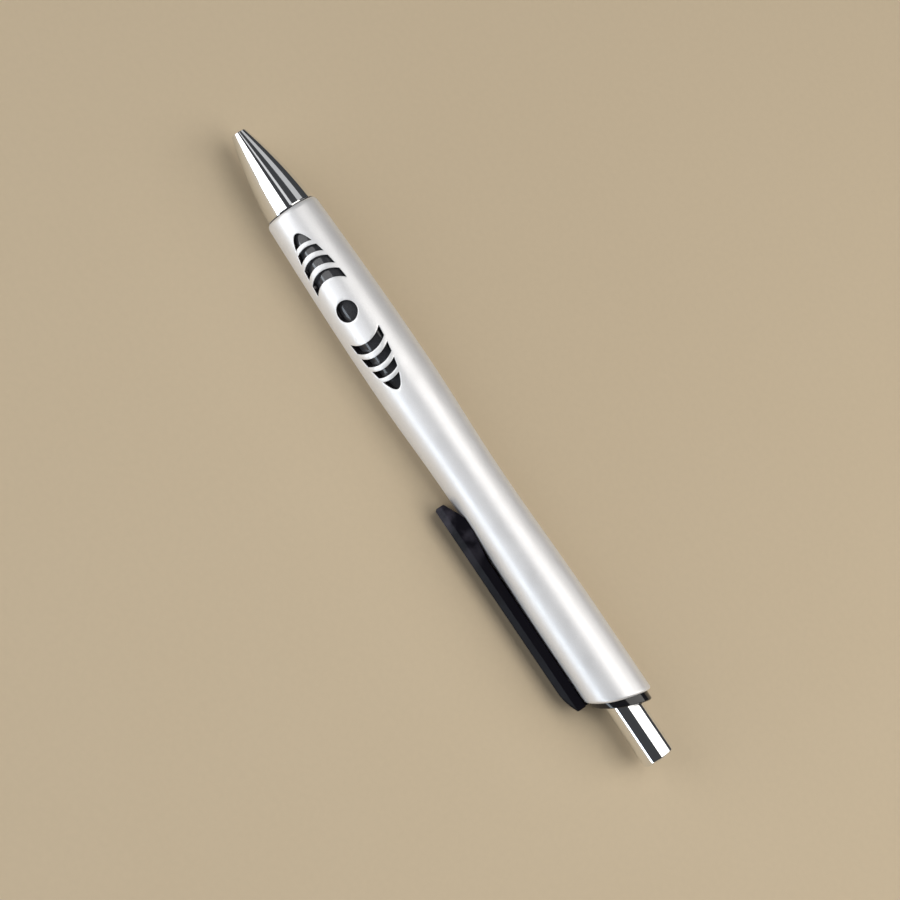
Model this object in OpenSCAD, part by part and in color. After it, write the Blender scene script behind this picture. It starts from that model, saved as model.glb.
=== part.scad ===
// Push-button ballpoint pen with a waisted barrel, a side clip and a grip pierced by arc windows.
// Every piece is drawn on the pen's axis (Z, from the nose tip to the button), with the clip on +X
// and the windows on +Y and -Y, and is then laid down on the table, resting on barrel and clip.

/* [Refill] */
// Length of the refill from the ball to its open end
refill_len = 106.8; // [96:0.1:118]
// Outer radius of the refill tube
refill_r = 1.5; // [1.4:0.05:1.7]
// Wall of the refill tube
refill_wall = 0.45; // [0.3:0.05:0.55]
// Radius of the metal point
point_r = 1.15; // [1:0.05:1.3]
// Radius of the writing ball
ball_r = 0.5; // [0.35:0.05:0.6]
// Length of the point's tapered end
taper_len = 2.3; // [1.5:0.1:3]
// Wall round the ball at the point's end
nib_wall = 0.07; // [0.05:0.01:0.12]
// Length of the shoulder that the tube meets
shoulder_len = 1.2; // [0.8:0.1:2]
// Length of the point's stem inside the tube
stem_len = 3.5; // [2:0.5:6]
// Length of the ink in the tube
ink_len = 74; // [40:1:80]
// Length of the crimped ears that the spring pushes on
ear_len = 2; // [1.2:0.1:3]
// Width of an ear, in degrees
ear_angle = 26; // [16:1:40]
// How far the ball lies behind the nose opening when the pen is closed
tip_setback = 1.55; // [1:0.05:2.5]

/* [Nose cone] */
// Length of the cone in front of the barrel
nose_len = 17.5; // [15:0.5:20]
// How far the cone's side swells out of a straight taper at half length
nose_bulge = 0.51; // [0.2:0.01:0.7]
// Wall at the nose opening
tip_lip = 0.28; // [0.2:0.02:0.4]
// Depth of the narrow guide bore, up to the spring's seat
guide_len = 7.5; // [6:0.25:9]
// Length of the spigot that goes into the liner
spigot_len = 6.5; // [5:0.5:9]
// Step from the barrel's bore out to the cone's base
base_step = 0.27; // [0.2:0.01:0.35]

/* [Barrel] */
// Wall just behind the front lip
front_wall = 0.7; // [0.6:0.05:0.9]
// Wall at the waist
waist_wall = 0.95; // [0.75:0.05:1.15]
// Wall at the grip's widest place and at the rear
full_wall = 1.45; // [1.25:0.05:1.8]
// Length of the rounded front lip
lip_len = 0.9; // [0.5:0.1:1.4]
// Place of the grip's widest section behind the nose joint
grip_at = 36.5; // [32:0.5:40]
// Place of the waist behind the nose joint
waist_at = 61.5; // [56:0.5:66]
// Place where the rear becomes straight, behind the nose joint
rear_at = 94; // [86:0.5:98]
// Slant of the rear end, in degrees
slant = 17.5; // [8:0.5:22]
// Rounding of the rear edge
rear_round = 1.6; // [1:0.1:2]
// Width of the dark line between cone and barrel
joint_gap = 0.2; // [0.1:0.02:0.3]
// Turn of the barrel's parting line from the clip's middle, in degrees
parting_turn = 2.2; // [0:0.1:6]

/* [Grip windows] */
// Middle of the window group behind the nose joint
window_at = 21.9; // [20:0.1:24]
// Length of the oval that bounds the windows
window_len = 34.2; // [28:0.2:36]
// Width of that oval
window_w = 6.8; // [5.6:0.1:7.4]
// Radius of the round hole in the middle
dot_r = 2.1; // [1.6:0.1:2.6]
// Inner radius of the first arc window
arc_r = 6.8; // [6:0.1:7.4]
// Width of an arc window
arc_w = 1.46; // [1.1:0.02:1.7]
// Step from one arc window to the next
arc_pitch = 2.68; // [2.4:0.02:2.8]
// Arc windows on each side of the round hole
arc_count = 4; // [2:1:4]
// Wall of the black liner under the windows
liner_wall = 0.65; // [0.4:0.05:0.9]
// How far the liner runs past the windows
liner_tail = 3.5; // [2:0.5:8]

/* [Clip] */
// Length of the clip
clip_len = 45.5; // [36:0.5:50]
// Width of the clip at its sides
clip_w = 5.8; // [5:0.1:6.6]
// Width of the clip's flat outer face
clip_top_w = 4.2; // [3.4:0.1:4.8]
// Gap between the barrel's rear and the clip's hollow underside
clip_gap = 0.5; // [0.35:0.05:0.8]
// Height from that underside to the edge of the bevel
clip_side_h = 0.4; // [0.3:0.05:0.7]
// Height of the bevel
clip_bevel_h = 1.92; // [1.4:0.02:2.2]
// Chamfer at the free end
clip_chamfer = 0.35; // [0.2:0.05:0.6]
// Length of the sloping lead-in under the free end
lead_len = 4.2; // [3:0.1:6]
// Height of the blunt face at the free end
blunt_h = 1.9; // [1.4:0.05:2.2]
// Length of the pad that grips against the barrel
pad_len = 2.8; // [2:0.1:5]
// Gap between that pad and the barrel
pad_gap = 0.15; // [0.1:0.05:0.3]
// Length of the sloping rear end
tail_len = 5; // [3.5:0.1:6.5]
// Drop of the sloping rear end
tail_drop = 1.26; // [0.6:0.02:1.5]
// Distance from the clip's rear face to the barrel's end, on the axis
clip_inset = 2.3; // [2.1:0.1:3]
// Width of the clip's root in the barrel's notch
root_w = 3.8; // [3:0.1:4.4]
// Depth of the clip's root in the collar
root_depth = 0.55; // [0.3:0.05:0.8]

/* [Button and collar] */
// Radius of the push button
button_r = 3.25; // [3:0.05:3.5]
// Length of the button behind the barrel's end, on the axis
button_out = 13.5; // [12:0.1:16]
// Wall of the button's cap
button_wall = 0.5; // [0.35:0.05:0.6]
// Chamfer of the button's end
button_chamfer = 0.35; // [0.2:0.05:0.5]
// Length of the collar inside the barrel, on the axis
collar_len = 7.5; // [6.8:0.1:9]
// How far the collar stands out of the barrel
collar_out = 1.5; // [0.8:0.1:2]
// Rounding of the collar's edge
collar_round = 0.5; // [0.3:0.1:0.8]
// Wall of the collar in front of the clip's root
pocket_lip = 0.4; // [0.3:0.05:0.8]

/* [Push mechanism] */
// Travel of the button
stroke = 6.5; // [5.5:0.1:7]
// Press at which the rotor's fins leave the ribs
fin_hold = 4.3; // [3.5:0.1:4.6]
// Step from the button's radius out to the sleeve's bore
key_step = 0.35; // [0.25:0.05:0.5]
// Wall of the cam sleeve
sleeve_wall = 0.95; // [0.7:0.05:1.3]
// Height of the sleeve's ribs
rib_h = 1; // [0.7:0.05:1.2]
// Width of a rib, in degrees
rib_angle = 16; // [12:1:20]
// Width of a fin of the rotor, in degrees
fin_angle = 14; // [10:1:16]
// Width of a key of the pusher, in degrees
key_angle = 40; // [24:2:60]
// Length of the pusher's keys
key_len = 6.9; // [6:0.1:9]
// Length of the rotor's fins
fin_len = 4.5; // [3:0.1:6]
// Place of the pusher's flange behind the collar's front
flange_set = 1.9; // [1.5:0.1:2.5]
// Length of the pusher's flange, which carries the cap
flange_len = 3; // [2:0.1:4]
// Length of the pusher's plug inside the cap
plug_len = 8; // [5:0.5:12]
// Depth of the rotor's cup on the refill
cup_len = 5.35; // [4:0.05:7]
// Solid length of the rotor behind the cup
rotor_floor = 3.5; // [3:0.1:5]
// Rise of the slanted cam ends across a rib or a fin
cam_rise = 0.7; // [0.4:0.1:0.9]
// Height of the crown teeth
tooth_h = 0.8; // [0.5:0.1:1]
// Teeth on each crown
tooth_count = 6; // [6:3:9]
// Radius of the rotor's centring stub
stub_r = 1.3; // [1:0.05:1.5]
// Length of the rotor's centring stub
stub_len = 1.6; // [1:0.1:2.4]

/* [Return spring] */
// Thickness of the spring wire
wire_d = 0.45; // [0.35:0.05:0.55]
// Length of the spring when the pen is closed
spring_len = 18.4; // [16:0.1:20]
// Gap between an end turn and the next one
turn_gap = 0.5; // [0.45:0.05:0.7]
// Turns between the two end turns
spring_turns = 8; // [5:1:10]
// Gap between the tube and the inside of the spring
spring_gap = 0.3; // [0.25:0.05:0.4]
// Room round the spring in the nose cone
spring_room = 0.3; // [0.2:0.05:0.45]

/* [Clearances] */
// Clearance of pieces that are fixed together
fit_gap = 0.05; // [0.03:0.01:0.08]
// Clearance of pieces that slide or turn in each other
run_gap = 0.07; // [0.05:0.01:0.1]
// Clearance between ends that pass each other
end_gap = 0.1; // [0.08:0.01:0.2]

/* [Hidden] */
$fn = 96;
arc_step = 15;
overcut = 1;

// Radii, worked outwards from the button through sleeve, bore and barrel
groove_r = button_r + key_step;
bore_r = groove_r + sleeve_wall + fit_gap;
insert_r = bore_r - fit_gap;
front_r = bore_r + front_wall;
waist_r = bore_r + waist_wall;
full_r = bore_r + full_wall;
base_r = bore_r + base_step;
cut_len = 3 * full_r;
liner_in = insert_r - liner_wall;
spigot_r = liner_in - fit_gap;
rib_in = groove_r - rib_h;
key_r = groove_r - end_gap;
core_r = rib_in - end_gap;
collar_bore = button_r + run_gap;
flange_r = button_r - fit_gap;
cap_in = button_r - button_wall;

// Radii of the refill, the spring and the nose
tube_in = refill_r - refill_wall;
guide_r = point_r + run_gap;
tip_r = guide_r + tip_lip;
spring_r = refill_r + spring_gap + wire_d / 2;
spring_out = spring_r + wire_d / 2;
chamber_r = spring_out + spring_room;
ear_r = chamber_r - 2 * end_gap;
socket_r = ball_r + fit_gap;

// Places along the axis, from the nose tip
ball_z = tip_setback + ball_r;
ear_z = guide_len + spring_len;
shoulder_z = guide_len + stroke + 5 * end_gap;
tube_z = shoulder_z + shoulder_len;
barrel_z = nose_len + joint_gap;
refill_end = tip_setback + refill_len;
crown_z = refill_end + fit_gap + rotor_floor;
fin_z = crown_z - end_gap;
rib_z = fin_z - fin_hold;
key_z = crown_z + end_gap;
collar_z = key_z + key_len + end_gap;
barrel_end = collar_z + collar_len;
total_len = barrel_end + button_out;
flange_z = collar_z + flange_set;
cap_z = flange_z + flange_len;
rib_end = flange_z - stroke - 2 * end_gap;
sleeve_z = fin_z - fin_len - stroke - 4 * end_gap;
window_z = nose_len + window_at;
liner_end = window_z + window_len / 2 + liner_tail;
clip_end = barrel_end - clip_inset;
clip_z = clip_end - clip_len;
root_z = collar_z + pocket_lip;

// Radii of the clip
under_r = full_r + clip_gap;
bevel_r = under_r + clip_side_h;
outer_r = bevel_r + clip_bevel_h;
root_in = insert_r - root_depth;
pad_end = clip_z + lead_len + pad_len;
pad_r = barrel_radius(pad_end - nose_len) + pad_gap;
pad_edge = sqrt(pad_r * pad_r - clip_w * clip_w / 4);

// Roll of the pen on the table, where the barrel and the clip's lower edge both touch it
corner_r = norm([outer_r, clip_top_w / 2]);
roll = asin(full_r / corner_r) - atan(clip_top_w / 2 / outer_r);
clip_reach = outer_r * cos(roll) + clip_top_w / 2 * sin(roll);

function mix(a, b, t) = a + (b - a) * t;
function ease(t) = (1 - cos(180 * t)) / 2;

// Outer radius of the barrel at a distance behind the nose joint
function barrel_radius(d) =
    d < grip_at ? mix(front_r, full_r, sin(90 * d / grip_at)) :
    d < waist_at ? mix(full_r, waist_r, ease((d - grip_at) / (waist_at - grip_at))) :
    d < rear_at ? mix(waist_r, full_r, ease((d - waist_at) / (rear_at - waist_at))) : full_r;

// Outer radius of the nose cone at a distance from its tip
function nose_radius(z) =
    let (t = z / nose_len)
    mix(tip_r, base_r, t) + 4 * nose_bulge * t * (1 - t);

// Lays a piece drawn on the axis down on the table
module lay() {
    translate([-total_len / 2, (clip_reach - full_r) / 2, full_r])
    rotate([roll - 90, 0, 0])
    rotate([0, 90, 0])
    children();
}

// Ring with a plain section, between two radii and two places on the axis
module ring(r_in, r_out, z, h) {
    rotate_extrude()
    translate([r_in, z])
    square([r_out - r_in, h]);
}

// Ribs, keys or fins: blocks of a ring, spread evenly round the axis
module lugs(count, angle, turn, r_in, r_out, z, h) {
    for (i = [0:count - 1])
        rotate(turn + i * 360 / count - angle / 2)
        rotate_extrude(angle = angle)
        translate([r_in, z])
        square([r_out - r_in, h]);
}

// Lugs with a cam face: the end at the given height is cut at a slant, towards the nose or the button
module cam_lugs(count, angle, turn, r_in, r_out, z, h, face_z, side) {
    half = insert_r * sin(angle / 2);
    difference() {
        lugs(count, angle, turn, r_in, r_out, z, h);
        for (i = [0:count - 1])
            rotate(turn + i * 360 / count)
            translate([0, 0, face_z])
            rotate([90, 0, 90])
            linear_extrude(cut_len)
            polygon([[-half, 0], [half, cam_rise], [half, side * cut_len], [-half, side * cut_len]]);
    }
}

// V-shaped gaps between crown teeth, open towards +Z at the given height
module tooth_gaps(z, depth) {
    for (i = [0:tooth_count - 1])
        rotate(i * 360 / tooth_count)
        translate([0, 0, z])
        rotate([90, 0, 90])
        linear_extrude(cut_len)
        polygon([[0, -depth], [depth + overcut, overcut], [-depth - overcut, overcut]]);
}

// Everything behind a slanted plane, with a rounded edge of the given radius left on the piece
module slanted_cut(rise, reach, edge) {
    translate([0, 0, barrel_end])
    rotate([0, slant, 0])
    translate([0, 0, rise])
    rotate_extrude()
    polygon(concat(
        [for (a = [0:arc_step:90]) [reach - edge * (1 - cos(a)), edge * (sin(a) - 1)]],
        [[0, 0], [0, cut_len], [cut_len, cut_len], [cut_len, -edge]]
    ));
}

// One group of windows: an oval crossed by arcs about a round hole, cut along +Y
module window_group() {
    translate([0, 0, window_z])
    rotate([-90, 0, 0]) {
        cylinder(r = dot_r, h = cut_len);
        intersection() {
            linear_extrude(cut_len)
            polygon([for (a = [0:9:351]) [window_w / 2 * cos(a), window_len / 2 * sin(a)]]);
            union() {
                for (i = [0:arc_count - 1]) {
                    r_in = arc_r + i * arc_pitch;
                    r_out = i < arc_count - 1 ? r_in + arc_w : window_len;
                    ring(r_in, r_out, 0, cut_len);
                }
            }
        }
    }
}

// Chrome nose cone with the guide bore, the spring chamber and the spigot
module nose_cone() {
    steps = 16;
    lip = tip_lip / 2;
    color("gainsboro")
    lay()
    rotate_extrude()
    polygon(concat(
        [for (a = [180:-30:90]) [guide_r + lip + lip * cos(a), lip - lip * sin(a)]],
        [for (i = [0:steps]) let (z = mix(lip, nose_len, i / steps)) [nose_radius(z), z]],
        [
            [spigot_r, nose_len],
            [spigot_r, nose_len + spigot_len],
            [chamber_r, nose_len + spigot_len],
            [chamber_r, guide_len],
            [guide_r, guide_len],
        ]
    ));
}

// Outline of the barrel's wall: rounded lip, swelling grip, waist and straight rear
module barrel_section() {
    lip = front_r - base_r;
    grip_steps = 10;
    waist_steps = 8;
    rear = rear_at < barrel_end - nose_len ? barrel_end - nose_len : rear_at;
    lip_points = [for (a = [0:arc_step:75]) [base_r + lip * sin(a), barrel_z + lip_len * (1 - cos(a))]];
    places = concat(
        [for (i = [0:grip_steps]) mix(lip_len, grip_at, i / grip_steps)],
        [for (i = [1:waist_steps]) mix(grip_at, waist_at, i / waist_steps)],
        [for (i = [1:waist_steps]) mix(waist_at, rear_at, i / waist_steps)],
        [rear + full_r]
    );
    polygon(concat(
        lip_points,
        [for (d = places) [barrel_radius(d), nose_len + d]],
        [[bore_r, nose_len + rear + full_r], [bore_r, barrel_z]]
    ));
}

// Silver barrel with its windows, its slanted rear end and the notch for the clip's root
module barrel() {
    notch_w = root_w + 2 * fit_gap;
    color("silver")
    lay()
    difference() {
        rotate(parting_turn)
        rotate_extrude()
        barrel_section();
        for (side = [0, 180])
            rotate(side)
            window_group();
        slanted_cut(0, full_r / cos(slant) + rear_round / 6, rear_round);
        translate([0, -notch_w / 2, root_z - fit_gap])
        cube([cut_len, notch_w, cut_len]);
    }
}

// Black liner that shows through the windows and takes the nose cone's spigot
module grip_liner() {
    color([0.06, 0.06, 0.07])
    lay()
    ring(liner_in, insert_r, nose_len, liner_end - nose_len);
}

// Side view of the clip: blunt free end, lead-in, straight back and sloping tail
module clip_side() {
    tail_r = (tail_len * tail_len + tail_drop * tail_drop) / (2 * tail_drop);
    tail_angle = asin(tail_len / tail_r);
    tail_steps = 6;
    polygon(concat(
        [
            [clip_z + lead_len, 0],
            [clip_z + lead_len, pad_edge],
            [clip_z, outer_r - blunt_h],
            [clip_z, outer_r - clip_chamfer],
            [clip_z + clip_chamfer, outer_r],
        ],
        [
            for (i = [0:tail_steps])
            let (a = tail_angle * i / tail_steps)
            [clip_end - tail_len + tail_r * sin(a), outer_r - tail_r * (1 - cos(a))]
        ],
        [[clip_end, 0]]
    ));
}

// Black clip with bevelled sides, a hollow underside, a gripping pad and a root for the collar
module clip() {
    half = clip_w / 2;
    top_half = clip_top_w / 2;
    pad_slope = under_r - pad_r;
    color([0.09, 0.09, 0.1])
    lay()
    union() {
        difference() {
            intersection() {
                linear_extrude(total_len)
                polygon([[0, -half], [bevel_r, -half], [outer_r, -top_half],
                    [outer_r, top_half], [bevel_r, half], [0, half]]);
                translate([0, -half - overcut, 0])
                rotate([-90, -90, 0])
                linear_extrude(clip_w + 2 * overcut)
                clip_side();
            }
            rotate_extrude()
            polygon([[0, 0], [pad_r, 0], [pad_r, pad_end], [under_r, pad_end + pad_slope],
                [under_r, total_len], [0, total_len]]);
        }
        translate([root_in, -root_w / 2, root_z])
        cube([bevel_r - root_in, root_w, clip_end - root_z]);
    }
}

// Black collar that closes the barrel, guides the button and holds the clip's root
module end_collar() {
    pocket_w = root_w + 2 * fit_gap;
    color([0.06, 0.06, 0.07])
    lay()
    difference() {
        ring(collar_bore, insert_r, collar_z, collar_len + full_r);
        slanted_cut(collar_out, insert_r / cos(slant) + collar_round / 4, collar_round);
        translate([root_in - fit_gap, -pocket_w / 2, root_z - fit_gap])
        cube([cut_len, pocket_w, clip_end - root_z + 2 * fit_gap]);
    }
}

// Sleeve with three ribs that hold or free the rotor's fins
module cam_sleeve() {
    color("whitesmoke")
    lay()
    union() {
        ring(groove_r, insert_r, sleeve_z, collar_z - sleeve_z);
        cam_lugs(3, rib_angle, 0, rib_in, groove_r + sleeve_wall / 2, rib_z, rib_end - rib_z, rib_z, -1);
    }
}

// Chrome cap that the thumb presses
module push_button() {
    color("gainsboro")
    lay()
    rotate_extrude()
    polygon([
        [cap_in, cap_z],
        [button_r, cap_z],
        [button_r, total_len - button_chamfer],
        [button_r - button_chamfer, total_len],
        [0, total_len],
        [0, total_len - button_wall],
        [cap_in, total_len - button_wall],
    ]);
}

// Pusher inside the cap, with keys that run between the ribs and a toothed crown in front
module cam_pusher() {
    front = crown_z + end_gap / 2;
    color("whitesmoke")
    lay()
    difference() {
        union() {
            rotate_extrude()
            polygon([
                [0, front],
                [core_r, front],
                [core_r, flange_z],
                [flange_r, flange_z],
                [flange_r, cap_z],
                [cap_in - fit_gap, cap_z],
                [cap_in - fit_gap, cap_z + plug_len],
                [0, cap_z + plug_len],
            ]);
            lugs(3, key_angle, 60, core_r - overcut / 2, key_r, key_z, key_len);
        }
        translate([0, 0, front])
        mirror([0, 0, 1])
        tooth_gaps(0, tooth_h);
        translate([0, 0, front - overcut])
        cylinder(r = stub_r + end_gap, h = overcut + stub_len + 4 * end_gap);
    }
}

// Rotor on the refill's end, with three fins, a toothed crown and a centring stub
module cam_rotor() {
    rear = crown_z - end_gap / 2;
    mouth = refill_end - cup_len;
    color("whitesmoke")
    lay()
    union() {
        difference() {
            union() {
                ring(refill_r + fit_gap, core_r, mouth, cup_len + fit_gap);
                ring(0, core_r, refill_end + fit_gap, rear - refill_end - fit_gap);
                cam_lugs(3, fin_angle, 60, core_r - overcut / 2, key_r,
                    fin_z - fin_len, fin_len, fin_z - cam_rise, 1);
            }
            tooth_gaps(rear, tooth_h);
        }
        ring(0, stub_r, rear - rotor_floor / 2, rotor_floor / 2 + stub_len);
    }
}

// Path of the spring: one close turn at each end and open turns between them
ring_steps = 12;
wire_sides = 6;
end_pitch = wire_d + turn_gap;
first_z = guide_len + wire_d / 2 + fit_gap;
last_z = ear_z - wire_d / 2 - fit_gap;
open_pitch = (last_z - first_z - 2 * end_pitch) / spring_turns;
function coil_z(t) =
    t < 1 ? first_z + end_pitch * t :
    t < spring_turns + 1 ? first_z + end_pitch + open_pitch * (t - 1) :
    last_z - end_pitch * (spring_turns + 2 - t);
coil = [
    for (i = [0:(spring_turns + 2) * ring_steps])
    [spring_r * cos(360 * i / ring_steps), spring_r * sin(360 * i / ring_steps), coil_z(i / ring_steps)]
];
coil_gap = min([for (i = [0:len(coil) - ring_steps - 1]) norm(coil[i + ring_steps] - coil[i])]) - wire_d;
echo(least_gap_between_turns = coil_gap);

// One ring of the wire, square to the axis' radius and to the run of the wire
function wire_ring(i) =
    let (
        ahead = coil[min(i + 1, len(coil) - 1)] - coil[max(i - 1, 0)],
        along = ahead / norm(ahead),
        angle = 360 * i / ring_steps,
        out = [cos(angle), sin(angle), 0],
        up = cross(along, out)
    )
    [
        for (k = [0:wire_sides - 1])
        coil[i] + wire_d / 2 * (out * cos(360 * k / wire_sides) + up * sin(360 * k / wire_sides))
    ];

// Return spring between the nose cone's seat and the ears of the refill
module return_spring() {
    last = len(coil) - 1;
    n = wire_sides;
    points = [for (i = [0:last]) each wire_ring(i)];
    sides = [
        for (i = [0:last - 1], k = [0:n - 1])
        let (a = i * n + k, b = i * n + (k + 1) % n)
        each [[a, b, b + n], [a, b + n, a + n]]
    ];
    first_cap = [for (k = [1:n - 2]) [0, k + 1, k]];
    last_cap = [for (k = [1:n - 2]) [last * n, last * n + k, last * n + k + 1]];
    color("lightgray")
    lay()
    polyhedron(points, concat(sides, first_cap, last_cap));
}

// Metal tube of the refill, with the two crimped ears that the spring pushes on
module refill_tube() {
    color("silver")
    lay()
    union() {
        ring(tube_in, refill_r, tube_z, refill_end - tube_z);
        lugs(2, ear_angle, 90, refill_r - refill_wall / 2, ear_r, ear_z, ear_len);
    }
}

// Metal point with the ball's socket, the ink channel, a shoulder and a stem in the tube
module refill_point() {
    nib_z = ball_z - ball_r / 2;
    nib_r = socket_r + nib_wall;
    channel_r = ball_r / 2;
    color("goldenrod")
    lay()
    difference() {
        rotate_extrude()
        polygon([
            [0, nib_z],
            [nib_r, nib_z],
            [point_r, ball_z + taper_len],
            [point_r, shoulder_z],
            [refill_r, shoulder_z],
            [refill_r, tube_z],
            [tube_in - fit_gap, tube_z],
            [tube_in - fit_gap, tube_z + stem_len],
            [0, tube_z + stem_len],
        ]);
        translate([0, 0, ball_z])
        sphere(r = socket_r);
        translate([0, 0, ball_z])
        cylinder(r = channel_r, h = tube_z + stem_len - ball_z + overcut);
    }
}

// Ball that rolls in the point
module writing_ball() {
    color("lightgray")
    lay()
    translate([0, 0, ball_z])
    sphere(r = ball_r);
}

// Ink behind the point
module ink_column() {
    color([0.05, 0.06, 0.2])
    lay()
    ring(0, tube_in - fit_gap, tube_z + stem_len + end_gap, ink_len);
}

nose_cone();
barrel();
grip_liner();
clip();
end_collar();
cam_sleeve();
push_button();
cam_pusher();
cam_rotor();
return_spring();
refill_tube();
refill_point();
writing_ball();
ink_column();
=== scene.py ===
"""Push-button ballpoint pen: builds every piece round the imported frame, with its finish and a plain stage."""

import math
from functools import cache
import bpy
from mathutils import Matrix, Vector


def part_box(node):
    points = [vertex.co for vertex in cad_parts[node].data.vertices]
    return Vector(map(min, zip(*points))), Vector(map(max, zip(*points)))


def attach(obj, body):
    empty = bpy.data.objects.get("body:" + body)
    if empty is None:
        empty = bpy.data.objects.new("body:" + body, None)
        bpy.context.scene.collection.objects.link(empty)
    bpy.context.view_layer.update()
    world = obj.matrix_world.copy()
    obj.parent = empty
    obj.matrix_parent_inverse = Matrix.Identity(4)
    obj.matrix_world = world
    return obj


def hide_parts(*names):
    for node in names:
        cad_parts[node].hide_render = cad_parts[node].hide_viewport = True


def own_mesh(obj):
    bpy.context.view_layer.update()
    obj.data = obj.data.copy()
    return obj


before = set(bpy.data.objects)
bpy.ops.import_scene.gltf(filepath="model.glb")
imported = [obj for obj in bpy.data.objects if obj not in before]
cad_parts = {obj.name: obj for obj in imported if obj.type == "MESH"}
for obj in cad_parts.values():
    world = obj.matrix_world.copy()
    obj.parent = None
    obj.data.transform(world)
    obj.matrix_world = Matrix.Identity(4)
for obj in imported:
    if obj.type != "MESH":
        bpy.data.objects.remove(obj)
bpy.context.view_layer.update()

from types import SimpleNamespace

import bmesh
import bpy
from mathutils import Matrix, Vector

bl_info = {
    "name": "Push-button ballpoint pen",
    "version": (1, 0, 0),
    "blender": (4, 5, 0),
    "location": "View3D > Sidebar > Pen",
    "description": "Builds a ballpoint pen with a pierced grip, a side clip and a push button",
    "category": "Add Mesh",
}

MM = 0.001
TURN = 2 * math.pi
RIGHT = math.pi / 2

# Edges that bend by more than this look sharp, and on the clip by more than the second angle are rounded
SHARP_ANGLE = math.radians(28)
CLIP_ANGLE = math.radians(12)

# Distances in millimetres: points that are one, leftovers of a cut, and the test for lying in a row
MERGE = 0.0002
SLIVER = 0.00005
SHORT = 0.01


def length(name, text, millimetres):
    """A size in the sidebar, stored in metres."""
    return bpy.props.FloatProperty(name=name, description=text, default=millimetres * MM, min=0.0,
                                   precision=5, unit="LENGTH")


def colour(name, text, red, green, blue):
    """A colour in the sidebar, as linear values."""
    return bpy.props.FloatVectorProperty(name=name, description=text, default=(red, green, blue), size=3,
                                         min=0.0, max=1.0, subtype="COLOR")


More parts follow.
